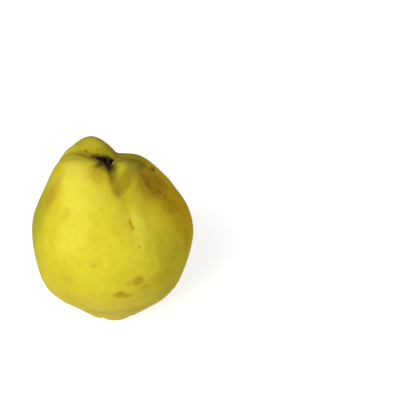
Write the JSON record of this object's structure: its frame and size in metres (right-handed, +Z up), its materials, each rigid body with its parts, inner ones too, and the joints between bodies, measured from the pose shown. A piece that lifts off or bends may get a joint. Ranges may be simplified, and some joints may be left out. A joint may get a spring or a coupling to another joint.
{
  "type": "quince",
  "caption": "Ripe yellow quince standing on its puckered calyx end, with lobed shoulders round a deep stalk pit, a dry stalk stub and dried sepals.",
  "frame": {"origin": "middle of the bounding box in plan, on the surface that the fruit rests on", "axes": "+Z up from the calyx end to the stalk end; the tallest lobe, the knob, lies on the -X and +Y side of the stalk pit"},
  "size_m": [0.0824, 0.0822, 0.0911],
  "materials": {
    "skin": "smooth satin fruit skin, waxy yellow",
    "dry_stalk": "dry, fibrous, nearly black",
    "dry_sepal": "dry papery brown"
  },
  "bodies": {
    "root": {"fruit": "skin", "stem_stub": "dry_stalk", "sepal_1": "dry_sepal", "sepal_2": "dry_sepal", "sepal_3": "dry_sepal", "sepal_4": "dry_sepal", "sepal_5": "dry_sepal"}
  },
  "joints": []
}
